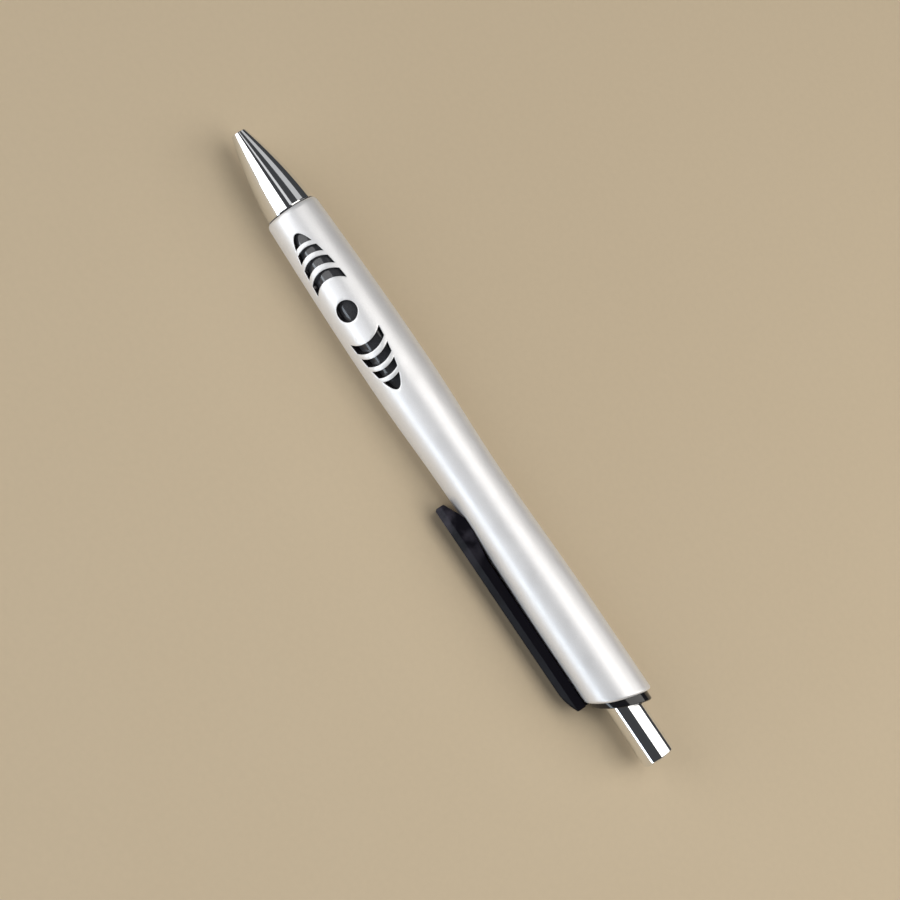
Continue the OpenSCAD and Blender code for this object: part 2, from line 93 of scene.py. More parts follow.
class PenSizes(bpy.types.PropertyGroup):
    """Sizes of the pen's pieces, measured along its axis from the nose tip and out from the axis."""

    total_len: length("Length", "Whole length with the point in", 140.0)
    nose_len: length("Nose length", "Length of the nose cone in front of the barrel", 17.5)
    nose_bulge: length("Nose bulge", "Swell of the cone's side at half length", 0.51)
    nose_round: length("Nose rounding", "Rounding of the cone's base", 0.08)
    tip_r: length("Tip radius", "Radius of the cone at the opening", 1.5)
    guide_r: length("Guide radius", "Radius of the opening for the point", 1.22)
    guide_len: length("Guide length", "Depth of the narrow bore behind the opening", 7.5)
    chamber_r: length("Chamber radius", "Radius of the room for the spring", 2.55)
    base_r: length("Base radius", "Radius of the cone where it meets the barrel", 4.87)
    spigot_r: length("Spigot radius", "Radius of the cone's end inside the liner", 3.85)
    spigot_len: length("Spigot length", "Length of the cone's end inside the liner", 6.5)
    joint_gap: length("Joint gap", "Width of the dark line between cone and barrel", 0.2)
    bore_r: length("Bore radius", "Radius of the barrel's bore", 4.6)
    front_r: length("Front radius", "Radius of the barrel behind its lip", 5.3)
    waist_r: length("Waist radius", "Radius of the barrel at its waist", 5.55)
    full_r: length("Full radius", "Radius of the barrel at the grip and at the rear", 6.05)
    lip_len: length("Lip length", "Length of the barrel's rounded front lip", 0.9)
    grip_at: length("Grip place", "Widest place of the grip behind the joint", 36.5)
    waist_at: length("Waist place", "Narrowest place behind the joint", 61.5)
    rear_at: length("Rear place", "Place behind the joint where the rear becomes straight", 94.0)
    barrel_end: length("Barrel end", "End of the barrel on the axis", 126.5)
    rear_round: length("Rear rounding", "Rounding of the barrel's rear edge", 0.6)
    end_crown: length("End crown", "How far the barrel's end falls away over the clip", 1.1)
    window_at: length("Window place", "Middle of the windows behind the joint", 21.9)
    window_len: length("Window length", "Length of the oval round the windows", 34.2)
    window_w: length("Window width", "Width of the oval round the windows", 7.15)
    dot_r: length("Hole radius", "Radius of the round hole in the middle", 2.1)
    arc_r: length("Arc radius", "Radius of an arc window's edges", 4.6)
    arc_at: length("Arc place", "Distance of the first arc window from the round hole's middle", 6.85)
    arc_step: length("Arc step", "Step from the first arc window to the next, before it shrinks", 3.2)
    arc_shrink: length("Arc shrink", "How much the steps shrink towards the tips", 0.17)
    rim_round: length("Rim rounding", "Rounding of the windows' rims", 0.12)
    insert_r: length("Insert radius", "Radius of the liner and the collar in the bore", 4.55)
    liner_in: length("Liner inside", "Inner radius of the liner", 3.9)
    liner_end: length("Liner end", "Rear end of the liner", 60.0)
    liner_round: length("Liner rounding", "Rounding of the liner's edges", 0.1)
    clip_start: length("Clip start", "Free end of the clip", 78.7)
    clip_end: length("Clip end", "Rear end of the clip", 124.2)
    clip_w: length("Clip width", "Width of the clip at its sides", 5.6)
    clip_top_w: length("Clip face width", "Width of the clip's flat outer face", 4.2)
    clip_under_r: length("Clip underside", "Radius of the clip's hollow underside", 6.55)
    clip_bevel_r: length("Clip bevel edge", "Distance of the bevel's lower edge from the axis", 7.5)
    clip_outer_r: length("Clip face", "Distance of the flat outer face from the axis", 8.87)
    clip_chamfer: length("Clip chamfer", "Chamfer at the free end", 0.35)
    clip_round: length("Clip edge rounding", "Rounding of the clip's edges", 0.14)
    # Length of the clip's free end that carries scuffs and painted sheen
    scuff_and_sheen_len: length("Scuff_and_sheen length", "Length of the rubbed part at the clip's free end", 16.0)
    lead_len: length("Lead-in", "Length of the slope under the free end", 4.2)
    blunt_h: length("Blunt face", "Height of the face at the free end", 1.9)
    pad_r: length("Pad radius", "Radius of the pad that grips the barrel", 5.75)
    pad_end: length("Pad end", "Rear end of the gripping pad", 85.7)
    pad_ramp: length("Pad ramp", "Length of the slope behind the gripping pad", 6.0)
    tail_len: length("Tail length", "Length of the clip's sloping rear end", 5.0)
    tail_drop: length("Tail drop", "Drop of the clip's sloping rear end", 1.26)
    root_in: length("Root depth", "Distance of the clip's root from the axis", 4.0)
    root_w: length("Root width", "Width of the clip's root", 3.8)
    root_at: length("Root start", "Front end of the clip's root", 119.4)
    fit: length("Fit", "Clearance of pieces that are fixed together", 0.05)
    collar_at: length("Collar start", "Front end of the collar", 119.0)
    collar_bore: length("Collar bore", "Radius of the collar's bore", 3.32)
    collar_out: length("Collar stand-out", "How far the collar stands out of the barrel", 1.55)
    collar_round: length("Collar rounding", "Rounding of the collar's edge", 0.3)
    flange_r: length("Flange radius", "Radius of the collar's flange on the barrel's end", 5.1)
    button_r: length("Button radius", "Radius of the push button", 3.25)
    button_in: length("Button inside", "Inner radius of the button's cap", 2.75)
    button_at: length("Button start", "Front end of the button's cap", 123.9)
    button_chamfer: length("Button chamfer", "Chamfer of the button's end", 0.35)
    button_round: length("Button rounding", "Rounding of the button's edges", 0.07)
    ball_at: length("Ball place", "Place of the writing ball", 2.05)
    ball_r: length("Ball radius", "Radius of the writing ball", 0.5)
    point_r: length("Point radius", "Radius of the metal point", 1.15)
    taper_len: length("Taper", "Length of the point's tapered end", 2.3)
    nib_wall: length("Nib wall", "Wall of the point round the ball", 0.07)
    shoulder_at: length("Shoulder", "Place of the point's shoulder", 14.5)
    tube_at: length("Tube start", "Front end of the refill's tube", 15.7)
    tube_r: length("Tube radius", "Outer radius of the refill's tube", 1.5)
    stem_r: length("Stem radius", "Radius of the point's stem in the tube", 1.0)
    stem_len: length("Stem length", "Length of the point's stem in the tube", 3.5)
    wire: length("Wire", "Thickness of the spring's wire", 0.45)
    spring_r: length("Spring radius", "Radius of the spring's turns", 2.025)
    spring_len: length("Spring length", "Length of the spring with the point in", 18.4)
    stroke: length("Stroke", "Travel of the button", 6.5)


class PenColours(bpy.types.PropertyGroup):
    """Colours of the pen's finishes and of the stage."""

    silver: colour("Silver lacquer", "Satin lacquer of the barrel", 0.85, 0.85, 0.865)
    chrome: colour("Chrome", "Plating of nose cone and button", 0.86, 0.87, 0.88)
    black: colour("Black gloss", "Collar and the windows' walls", 0.008, 0.008, 0.010)
    liner: colour("Liner black", "Liner under the windows", 0.05, 0.05, 0.055)
    clip: colour("Black satin", "Clip", 0.005, 0.0045, 0.007)
    # Paler colour for the clip's free end: partly scuffs, partly painted sheen
    scuff_and_sheen: colour("Scuffs_and_sheen", "Scuffed_and_sheen_lit places on the clip", 0.05, 0.046, 0.06)
    white: colour("White plastic", "Pieces of the push mechanism", 0.78, 0.78, 0.75)
    steel: colour("Steel", "Spring, ball and tube", 0.58, 0.58, 0.60)
    brass: colour("Brass", "Metal point", 0.70, 0.52, 0.24)
    ink: colour("Ink", "Ink in the tube", 0.010, 0.014, 0.07)
    floor: colour("Floor", "Pale floor", 0.60, 0.49, 0.34)
    cool_light: colour("Cool light", "Low lamp on the clip's side", 0.80, 0.90, 1.0)
    warm_light: colour("Warm light", "Lamp overhead", 1.0, 0.97, 0.92)
    white_light: colour("White light", "Lamps in front of the nose", 1.0, 1.0, 1.0)
    room_light: colour("Room light", "Faint light from all round", 0.92, 0.95, 1.0)


# Spring: open turns, and the gap in millimetres between the close turns at its ends
SPRING_TURNS = 8
TURN_GAP = 0.5

# Windows: arcs on each side of the round hole, the share of a step that is open, the angles in degrees
# that an arc covers, and the angle round the barrel from the clip to the windows
ARC_COUNT = 4
ARC_SHARE = 0.62
ARC_DEGREES = range(15, 166, 2)
WINDOW_ANGLE = math.radians(72)

# Barrel: the slant of its end and of the collar on it, and then multiples: the depth of the row in front of
# the rear rounding, the depth at which a window's wall turns black, and the fade of the fall over the clip
SLANT = math.radians(17.5)
FLANGE_SLANT = math.radians(21)
ROUND_REACH = 1.3
WALL_REACH = 1.5
CROWN_FADE = 3

# Rows of the barrel's mesh: the lip's angles in degrees, the length in millimetres with fine rows,
# the rows over it and behind it, and the columns round the axis
LIP_END = 75
LIP_DEGREES = range(12, LIP_END + 1, 9)
FINE_LEN = 42
FINE_ROWS = 70
REAR_ROWS = 40
COLUMNS = 160

# Stage, in metres: half the floor's side, the room's light, the camera and the height of fine bumps
FLOOR_HALF = 3.0
ROOM_STRENGTH = 0.06
CAMERA_LENS = 91.0
CAMERA_PLACE = Vector((0.0089, -0.19909, 0.37788))
CAMERA_TARGET = Vector((0.0010, 0.0011134, 0.0059644))
CAMERA_UP = Vector((-0.82928, 0.484634, 0.278446))
BUMP_HEIGHT = 0.00002

# Lamps: angle from overhead about the pen in degrees, distance, width, middle and length along the pen
# in metres, brightness and colour
LAMPS = (
    ("overhead_panel", 26.5, 0.6, 0.90, 0.44, 0.66, 2.2, "warm_light"),
    ("near_panel", 11.0, 0.6, 0.46, -0.03, 0.26, 2.2, "warm_light"),
    ("low_panel", -84.0, 0.7, 0.13, 0.15, 1.1, 4.5, "cool_light"),
    ("front_panel", -61.0, 0.6, 0.58, -0.44, 0.64, 2.3, "white_light"),
    ("front_strip", -10.5, 0.6, 0.12, -0.42, 0.46, 0.7, "white_light"),
    ("front_fill", 39.0, 0.6, 0.30, -0.42, 0.46, 0.5, "white_light"),
)


def sizes():
    """The sizes in millimetres."""
    group = bpy.context.scene.pen_sizes
    return SimpleNamespace(**{key: getattr(group, key) / MM for key in PenSizes.__annotations__})


def hue(name):
    """One colour with its alpha."""
    return (*getattr(bpy.context.scene.pen_colours, name), 1.0)


def mix(a, b, t):
    """The value between two others at a share of the way."""
    return a + (b - a) * t


def ease(t):
    """A share of the way that starts and ends slowly."""
    return (1 - math.cos(math.pi * t)) / 2


def lay_matrix(s):
    """Lays a piece drawn in millimetres on the Z axis down on the table, resting on barrel and clip."""
    low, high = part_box("push_button")
    half_face = s.clip_top_w / 2
    corner = math.hypot(s.clip_outer_r, half_face)
    roll = math.asin(s.full_r / corner) - math.atan(half_face / s.clip_outer_r)
    place = Matrix.Translation((high.x - s.total_len * MM, (low.y + high.y) / 2, (low.z + high.z) / 2))
    turn = Matrix.Rotation(roll - RIGHT, 4, "X") @ Matrix.Rotation(RIGHT, 4, "Y")
    return place @ turn @ Matrix.Scale(MM, 4)


def barrel_radius(s, z):
    """Outer radius of the barrel at a place on the axis, with the rounded front lip."""
    d = z - s.nose_len
    start = s.joint_gap
    if d < start + s.lip_len * (1 - math.cos(math.radians(LIP_END))):
        along = min(max((d - start) / s.lip_len, 0.0), 1.0)
        return s.base_r + (s.front_r - s.base_r) * math.sin(math.acos(1 - along))
    if d < s.grip_at:
        return mix(s.front_r, s.full_r, math.sin(RIGHT * d / s.grip_at))
    if d < s.waist_at:
        return mix(s.full_r, s.waist_r, ease((d - s.grip_at) / (s.waist_at - s.grip_at)))
    if d < s.rear_at:
        return mix(s.waist_r, s.full_r, ease((d - s.waist_at) / (s.rear_at - s.waist_at)))
    return s.full_r


def nose_radius(s, z):
    """Outer radius of the nose cone at a distance from its tip."""
    t = z / s.nose_len
    return mix(s.tip_r, s.base_r, t) + 4 * s.nose_bulge * t * (1 - t)


def spun(points, steps=128, closed=True):
    """A mesh turned round the Z axis from an outline of radius and height."""
    bm = bmesh.new()
    verts = [bm.verts.new((r, 0, z)) for r, z in points]
    pairs = list(zip(verts, verts[1:]))
    if closed:
        pairs.append((verts[-1], verts[0]))
    edges = [bm.edges.new(pair) for pair in pairs]
    bmesh.ops.spin(bm, geom=verts + edges, cent=(0, 0, 0), axis=(0, 0, 1), angle=TURN, steps=steps,
                   use_merge=True)
    bmesh.ops.remove_doubles(bm, verts=bm.verts[:], dist=MERGE)
    bmesh.ops.recalc_face_normals(bm, faces=bm.faces[:])
    return bm


def box_mesh(low, high):
    """A block between two corners."""
    bm = bmesh.new()
    bmesh.ops.create_cube(bm, size=1)
    bmesh.ops.scale(bm, vec=[b - a for a, b in zip(low, high)], verts=bm.verts)
    bmesh.ops.translate(bm, vec=[(a + b) / 2 for a, b in zip(low, high)], verts=bm.verts)
    return bm


def sliced(bm, place, normal, clear=False):
    """Cuts all faces along a plane, and clears what lies beyond it if asked to."""
    bmesh.ops.bisect_plane(bm, geom=bm.verts[:] + bm.edges[:] + bm.faces[:], dist=MERGE, plane_co=place,
                           plane_no=normal, clear_outer=clear)


def pulled(bm, points, vec):
    """Draws a flat outline and pulls it out into a block. Gives back all of the block's vertices."""
    verts = [bm.verts.new(p) for p in points]
    swept = bmesh.ops.extrude_face_region(bm, geom=[bm.faces.new(verts)])["geom"]
    moved = [v for v in swept if isinstance(v, bmesh.types.BMVert)]
    bmesh.ops.translate(bm, vec=vec, verts=moved)
    return verts + moved


def soften(bm, edges, width, segments=3):
    """Rounds edges."""
    bmesh.ops.bevel(bm, geom=edges, offset=width, segments=segments, profile=0.5, affect="EDGES", material=-1)


def corner_edges(bm, limit=SHARP_ANGLE):
    """Edges whose faces meet at more than the limit."""
    return [e for e in bm.edges if len(e.link_faces) == 2 and e.calc_face_angle() > limit]


def temporary(bm):
    """An object that lasts for one cut."""
    bmesh.ops.recalc_face_normals(bm, faces=bm.faces[:])
    mesh = bpy.data.meshes.new("cutting")
    bm.to_mesh(mesh)
    bm.free()
    obj = bpy.data.objects.new("cutting", mesh)
    bpy.context.scene.collection.objects.link(obj)
    return obj


def carved(bm, tools, operation="DIFFERENCE"):
    """The mesh after exact cuts by other meshes."""
    objects = [temporary(b) for b in [bm, *tools]]
    for tool in objects[1:]:
        cut = objects[0].modifiers.new("cut", "BOOLEAN")
        cut.object = tool
        cut.operation = operation
        cut.solver = "EXACT"
    depsgraph = bpy.context.evaluated_depsgraph_get()
    mesh = bpy.data.meshes.new_from_object(objects[0].evaluated_get(depsgraph))
    result = bmesh.new()
    result.from_mesh(mesh)
    bmesh.ops.remove_doubles(result, verts=result.verts[:], dist=SLIVER)
    bpy.data.meshes.remove(mesh)
    for obj in objects:
        data = obj.data
        bpy.data.objects.remove(obj)
        bpy.data.meshes.remove(data)
    if not result.faces:
        raise RuntimeError("a cut left nothing of its piece")
    return result


def end_plane(s):
    """The barrel's slanted end, as a place and a direction."""
    return Vector((0, 0, s.barrel_end)), Vector((math.sin(SLANT), 0, math.cos(SLANT)))


def slanted_row(bm, s, depth):
    """Adds a row of edges along the barrel's slant, which keeps the shading in front of it straight."""
    place, normal = end_plane(s)
    sliced(bm, place - normal * depth, normal)


def slanted_end(bm, s):
    """Cuts a tube off at the barrel's slant and closes its wall. Gives back the edges of the outer rim."""
    place, normal = end_plane(s)
    sliced(bm, place, normal, clear=True)
    rim = [e for e in bm.edges if e.is_boundary
           and all(abs((v.co - place).dot(normal)) < SHORT for v in e.verts)]
    bmesh.ops.bridge_loops(bm, edges=rim)
    reach = [math.hypot(*v.co.xy) for e in rim for v in e.verts]
    limit = (min(reach) + max(reach)) / 2
    return [e for e in rim if e.is_valid and all(math.hypot(*v.co.xy) > limit for v in e.verts)]


def crown_drop(s, x):
    """How far the barrel's end lies under its slanted plane at a place across the pen."""
    return s.end_crown * (max(x, 0.0) / s.full_r) ** 2


def crowned_end(bm, s):
    """Lets the barrel's end fall away over the clip, with the drop fading out along the wall."""
    place, normal = end_plane(s)
    full = ROUND_REACH * s.rear_round
    for v in bm.verts:
        depth = (place - v.co).dot(normal)
        share = min(max(1 - (depth - full) / (CROWN_FADE * s.end_crown), 0.0), 1.0)
        v.co.z -= share * crown_drop(s, v.co.x)


def piece(name, bm, materials, body, nodes, s):
    """Lays a mesh on the table as a finished piece of the pen."""
    bmesh.ops.transform(bm, matrix=lay_matrix(s), verts=bm.verts)
    bmesh.ops.recalc_face_normals(bm, faces=bm.faces[:])
    mesh = bpy.data.meshes.new(name)
    bm.to_mesh(mesh)
    bm.free()
    mesh.shade_smooth()
    mesh.set_sharp_from_angle(angle=SHARP_ANGLE)
    for material in materials:
        mesh.materials.append(material)
    obj = bpy.data.objects.new(name, mesh)
    bpy.context.scene.collection.objects.link(obj)
    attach(obj, body)
    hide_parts(*nodes)
    return obj


def new_material(name):
    """An empty node material with its output and its shader."""
    material = bpy.data.materials.new(name)
    material.use_nodes = True
    nodes = material.node_tree.nodes
    nodes.clear()
    out = nodes.new("ShaderNodeOutputMaterial")
    shader = nodes.new("ShaderNodeBsdfPrincipled")
    material.node_tree.links.new(shader.outputs["BSDF"], out.inputs["Surface"])
    return material, shader


def grain_group():
    """Two scales of irregular grain: fine specks and broad patches, each from 0 to 1."""
    name = "Grain and patches"
    if name in bpy.data.node_groups:
        return bpy.data.node_groups[name]
    group = bpy.data.node_groups.new(name, "ShaderNodeTree")
    for label, default in (("Fine scale", 4000.0), ("Patch scale", 120.0), ("Stretch", 1.0)):
        socket = group.interface.new_socket(label, in_out="INPUT", socket_type="NodeSocketFloat")
        socket.default_value = default
    group.interface.new_socket("Fine", in_out="OUTPUT", socket_type="NodeSocketFloat")
    group.interface.new_socket("Patch", in_out="OUTPUT", socket_type="NodeSocketFloat")
    group.interface.new_socket("Streak", in_out="OUTPUT", socket_type="NodeSocketFloat")
    nodes, links = group.nodes, group.links
    given = nodes.new("NodeGroupInput")
    result = nodes.new("NodeGroupOutput")
    place = nodes.new("ShaderNodeTexCoord")
    drawn_out = nodes.new("ShaderNodeCombineXYZ")
    drawn_out.inputs["Y"].default_value = 1.0
    drawn_out.inputs["Z"].default_value = 1.0
    links.new(given.outputs["Stretch"], drawn_out.inputs["X"])
    stretched = nodes.new("ShaderNodeVectorMath")
    stretched.operation = "MULTIPLY"
    links.new(place.outputs["Object"], stretched.inputs[0])
    links.new(drawn_out.outputs["Vector"], stretched.inputs[1])
    for label, scale, source, detail in (
        ("Fine", "Fine scale", place.outputs["Object"], 2.0),
        ("Patch", "Patch scale", place.outputs["Object"], 5.0),
        ("Streak", "Fine scale", stretched.outputs["Vector"], 3.0),
    ):
        noise = nodes.new("ShaderNodeTexNoise")
        noise.inputs["Detail"].default_value = detail
        links.new(source, noise.inputs["Vector"])
        links.new(given.outputs[scale], noise.inputs["Scale"])
        links.new(noise.outputs["Fac"], result.inputs[label])
    return group


def grain(material, fine, patch, stretch=1.0):
    """Places the grain in a material with its own scales."""
    node = material.node_tree.nodes.new("ShaderNodeGroup")
    node.node_tree = grain_group()
    node.inputs["Fine scale"].default_value = fine
    node.inputs["Patch scale"].default_value = patch
    node.inputs["Stretch"].default_value = stretch
    return node


def ranged(material, source, low, high, start=0.3, stop=0.7):
    """Maps a value that changes over the surface to another range."""
    node = material.node_tree.nodes.new("ShaderNodeMapRange")
    node.inputs["From Min"].default_value = start
    node.inputs["From Max"].default_value = stop
    node.inputs["To Min"].default_value = low
    node.inputs["To Max"].default_value = high
    material.node_tree.links.new(source, node.inputs["Value"])
    return node.outputs["Result"]


def blended(material, factor, first, second):
    """Mixes two colours by a mask."""
    node = material.node_tree.nodes.new("ShaderNodeMix")
    node.data_type = "RGBA"
    node.inputs["A"].default_value = first
    node.inputs["B"].default_value = second
    material.node_tree.links.new(factor, node.inputs["Factor"])
    return node.outputs["Result"]


def bumped(material, height, strength, distance):
    """A normal from a height."""
    node = material.node_tree.nodes.new("ShaderNodeBump")
    node.inputs["Strength"].default_value = strength
    node.inputs["Distance"].default_value = distance
    material.node_tree.links.new(height, node.inputs["Height"])
    return node.outputs["Normal"]


def shade(value, factor):
    """A colour made darker or lighter."""
    return (*(min(1.0, c * factor) for c in value[:3]), 1.0)


def speckled(name, base, spread, roughness, metallic, fine, patch, stretch=1.0, bump=0.0):
    """A material with fine grain in its colour and patches in its roughness."""
    material, shader = new_material(name)
    texture = grain(material, fine, patch, stretch)
    link = material.node_tree.links.new
    tint = ranged(material, texture.outputs["Fine"], 0.0, 1.0)
    flecked = blended(material, tint, shade(base, 1 - spread), shade(base, 1 + spread))
    link(flecked, shader.inputs["Base Color"])
    source = texture.outputs["Streak" if stretch != 1.0 else "Patch"]
    link(ranged(material, source, *roughness), shader.inputs["Roughness"])
    shader.inputs["Metallic"].default_value = metallic
    if bump:
        link(bumped(material, texture.outputs["Fine"], bump, BUMP_HEIGHT), shader.inputs["Normal"])
    return material, shader, texture


@cache
def silver_lacquer():
    """Satin silver lacquer with a fine sparkle."""
    return speckled("satin_silver", hue("silver"), spread=0.05, roughness=(0.40, 0.48), metallic=0.52,
                    fine=9000.0, patch=260.0, bump=0.06)[0]


@cache
def chrome_plating():
    """Bright plating, a little uneven in its polish."""
    return speckled("bright_chrome", hue("chrome"), spread=0.01, roughness=(0.03, 0.09), metallic=1.0,
                    fine=3000.0, patch=220.0)[0]


@cache
def black_gloss():
    """Glossy black moulding."""
    return speckled("gloss_black", hue("black"), spread=0.2, roughness=(0.05, 0.12), metallic=0.0,
                    fine=5000.0, patch=300.0)[0]


@cache
def liner_black():
    """Glossy black of the liner, a little paler."""
    return speckled("gloss_liner", hue("liner"), spread=0.2, roughness=(0.05, 0.12), metallic=0.0,
                    fine=5000.0, patch=300.0)[0]


@cache
def black_satin():
    """Satin black with lighter mottled patches towards the clip's free end, partly scuffs and partly painted
    sheen.
    """
    s = sizes()
    material, shader, texture = speckled("satin_black", hue("clip"), spread=0.2, roughness=(0.26, 0.36),
                                         metallic=0.0, fine=5000.0, patch=240.0, bump=0.2)
    shader.inputs["Specular IOR Level"].default_value = 0.1
    nodes, link = material.node_tree.nodes, material.node_tree.links.new
    place = nodes.new("ShaderNodeTexCoord")
    split = nodes.new("ShaderNodeSeparateXYZ")
    link(place.outputs["Object"], split.inputs["Vector"])
    start = (s.clip_start - s.total_len / 2) * MM
    near_end = ranged(material, split.outputs["X"], 1.0, 0.0, start, start + s.scuff_and_sheen_len * MM)
    # Lighter mottled patches near the free end: partly scuffs, partly painted sheen
    scuffed_and_sheen_lit = ranged(material, texture.outputs["Patch"], 0.0, 1.0, 0.46, 0.62)
    both = nodes.new("ShaderNodeMath")
    both.operation = "MULTIPLY"
    link(near_end, both.inputs[0])
    link(scuffed_and_sheen_lit, both.inputs[1])
    link(blended(material, both.outputs["Value"], hue("clip"), hue("scuff_and_sheen")), shader.inputs["Base Color"])
    return material


@cache
def white_plastic():
    """Plain white moulding of the push mechanism."""
    return speckled("moulded_white", hue("white"), spread=0.03, roughness=(0.38, 0.5), metallic=0.0,
                    fine=3000.0, patch=300.0, bump=0.1)[0]


@cache
def drawn_steel():
    """Drawn steel with streaks along it."""
    return speckled("drawn_wire", hue("steel"), spread=0.05, roughness=(0.2, 0.34), metallic=1.0,
                    fine=4000.0, patch=300.0, stretch=0.05)[0]


@cache
def turned_brass():
    """Turned brass."""
    return speckled("lathed_brass", hue("brass"), spread=0.06, roughness=(0.16, 0.28), metallic=1.0,
                    fine=6000.0, patch=400.0)[0]


@cache
def thick_ink():
    """Dark, wet ink."""
    return speckled("dark_ink", hue("ink"), spread=0.3, roughness=(0.1, 0.2), metallic=0.0,
                    fine=2000.0, patch=200.0)[0]


@cache
def pale_floor():
    """Plain, matt floor."""
    return speckled("pale_floor", hue("floor"), spread=0.01, roughness=(0.7, 0.8), metallic=0.0,
                    fine=800.0, patch=30.0)[0]


def add_band(bm, s, edge, wide, deep, turn):
    """Adds an arc-shaped block, drawn in X and Y with its hollow side to the middle, and turned about Z."""
    angles = [math.radians(a) for a in ARC_DEGREES]
    hollow = [(s.arc_r * math.cos(a), edge + s.arc_r * (math.sin(a) - 1)) for a in angles]
    outline = hollow + [(x, y + wide) for x, y in reversed(hollow)]
    block = pulled(bm, [(x, y, -deep) for x, y in outline], (0, 0, 2 * deep))
    bmesh.ops.rotate(bm, cent=(0, 0, 0), matrix=Matrix.Rotation(turn, 3, "Z"), verts=block)
    bmesh.ops.recalc_face_normals(bm, faces=bm.faces[:])


def window_cutters(s):
    """The windows of one group, drawn flat in X and Z about the group's middle, as deep as the wall."""
    deep = 2 * (s.full_r - s.bore_r)
    flat = Matrix.Rotation(RIGHT, 3, "X")
    oval = bmesh.new()
    bmesh.ops.create_cone(oval, cap_ends=True, segments=140, radius1=0.5, radius2=0.5, depth=2 * deep)
    bmesh.ops.scale(oval, vec=(s.window_w, s.window_len, 1), verts=oval.verts)
    bands = bmesh.new()
    for i in range(ARC_COUNT):
        edge, following = (s.arc_at + n * s.arc_step - n * n * s.arc_shrink for n in (i, i + 1))
        wide = ARC_SHARE * (following - edge) if i < ARC_COUNT - 1 else s.window_len
        for turn in (0, math.pi):
            add_band(bands, s, edge, wide, deep, turn)
    arcs = carved(bands, [oval], "INTERSECT")
    dot = bmesh.new()
    bmesh.ops.create_cone(dot, cap_ends=True, segments=96, radius1=s.dot_r, radius2=s.dot_r, depth=2 * deep)
    for bm in (arcs, dot):
        bmesh.ops.rotate(bm, cent=(0, 0, 0), matrix=flat, verts=bm.verts)
    return arcs, dot


def barrel_wall(s):
    """The barrel's wall, cut and rounded while it lies unrolled, then rolled up round the axis.
    Unrolled, X is the angle from the clip, Y the depth and Z the place on the axis."""
    half = math.pi * s.full_r
    deep = s.full_r - s.bore_r
    start = s.nose_len + s.joint_gap
    end = s.barrel_end + s.full_r
    middle = s.nose_len + s.window_at
    wall = box_mesh((-half, 0, start), (half, deep, end))
    cutters = []
    for side in (-1, 1):
        for bm in window_cutters(s):
            for v in bm.verts:
                z = v.co.z + middle
                reach = barrel_radius(s, z)
                v.co = (s.full_r * (side * WINDOW_ANGLE + math.asin(v.co.x / reach)), v.co.y, z)
            cutters.append(bm)
    wall = carved(wall, cutters)
    rims = [e for e in corner_edges(wall) if all(abs(v.co.y) < MERGE for v in e.verts)
            and all(abs(v.co.x) < half - 1 and start + 1 < v.co.z < end - 1 for v in e.verts)]
    soften(wall, rims, s.rim_round, 2)
    lip = [start + s.lip_len * (1 - math.cos(math.radians(a))) for a in LIP_DEGREES]
    fine_end = s.nose_len + FINE_LEN
    grip = [mix(start + s.lip_len, fine_end, i / FINE_ROWS) for i in range(FINE_ROWS + 1)]
    rear = [mix(fine_end + 1, s.nose_len + s.rear_at, i / REAR_ROWS) for i in range(REAR_ROWS + 1)]
    cuts = [(Vector((0, 0, z)), Vector((0, 0, 1))) for z in lip + grip + rear]
    cuts += [(Vector((mix(-half, half, i / COLUMNS), 0, 0)), Vector((1, 0, 0))) for i in range(1, COLUMNS)]
    for place, normal in cuts:
        sliced(wall, place, normal)
    seam = [f for f in wall.faces if all(abs(abs(v.co.x) - half) < MERGE for v in f.verts)]
    bmesh.ops.delete(wall, geom=seam, context="FACES_ONLY")
    for v in wall.verts:
        outer = barrel_radius(s, v.co.z)
        r = outer - v.co.y / deep * (outer - s.bore_r)
        angle = v.co.x / s.full_r
        v.co = (r * math.cos(angle), r * math.sin(angle), v.co.z)
    bmesh.ops.remove_doubles(wall, verts=wall.verts[:], dist=MERGE)
    bmesh.ops.delete(wall, geom=[e for e in wall.edges if e.is_wire], context="EDGES")
    bmesh.ops.recalc_face_normals(wall, faces=wall.faces[:])
    return wall


class PEN_OT_stage(bpy.types.Operator):
    """Adds the pale floor, the soft lamps and the camera"""

    bl_idname = "pen.stage"
    bl_label = "Stage"

    def execute(self, context):
        scene = context.scene
        scene.view_settings.view_transform = "Standard"
        bm = bmesh.new()
        bmesh.ops.create_grid(bm, x_segments=1, y_segments=1, size=FLOOR_HALF)
        mesh = bpy.data.meshes.new("floor")
        bm.to_mesh(mesh)
        bm.free()
        mesh.materials.append(pale_floor())
        floor = bpy.data.objects.new("floor", mesh)
        scene.collection.objects.link(floor)

        world = bpy.data.worlds.new("studio")
        world.use_nodes = True
        room = world.node_tree.nodes["Background"]
        room.inputs["Color"].default_value = hue("room_light")
        room.inputs["Strength"].default_value = ROOM_STRENGTH
        scene.world = world

        for name, angle, away, across, middle, along, radiance, tint in LAMPS:
            lamp = bpy.data.lights.new(name, "AREA")
            lamp.shape = "RECTANGLE"
            lamp.size = along
            lamp.size_y = across
            lamp.energy = radiance * math.pi * across * along
            lamp.color = hue(tint)[:3]
            obj = bpy.data.objects.new(name, lamp)
            turn = Matrix.Rotation(-math.radians(angle), 4, "X")
            obj.matrix_world = turn @ Matrix.Translation((middle, 0, away))
            scene.collection.objects.link(obj)

        camera = bpy.data.cameras.new("camera")
        camera.lens = CAMERA_LENS
        camera.sensor_width = 36.0
        camera.clip_start = 0.01
        view = bpy.data.objects.new("camera", camera)
        back = (CAMERA_PLACE - CAMERA_TARGET).normalized()
        right = CAMERA_UP.cross(back).normalized()
        turn = Matrix((right, back.cross(right), back)).transposed()
        view.matrix_world = Matrix.Translation(CAMERA_PLACE) @ turn.to_4x4()
        scene.collection.objects.link(view)
        scene.camera = view
        return {"FINISHED"}


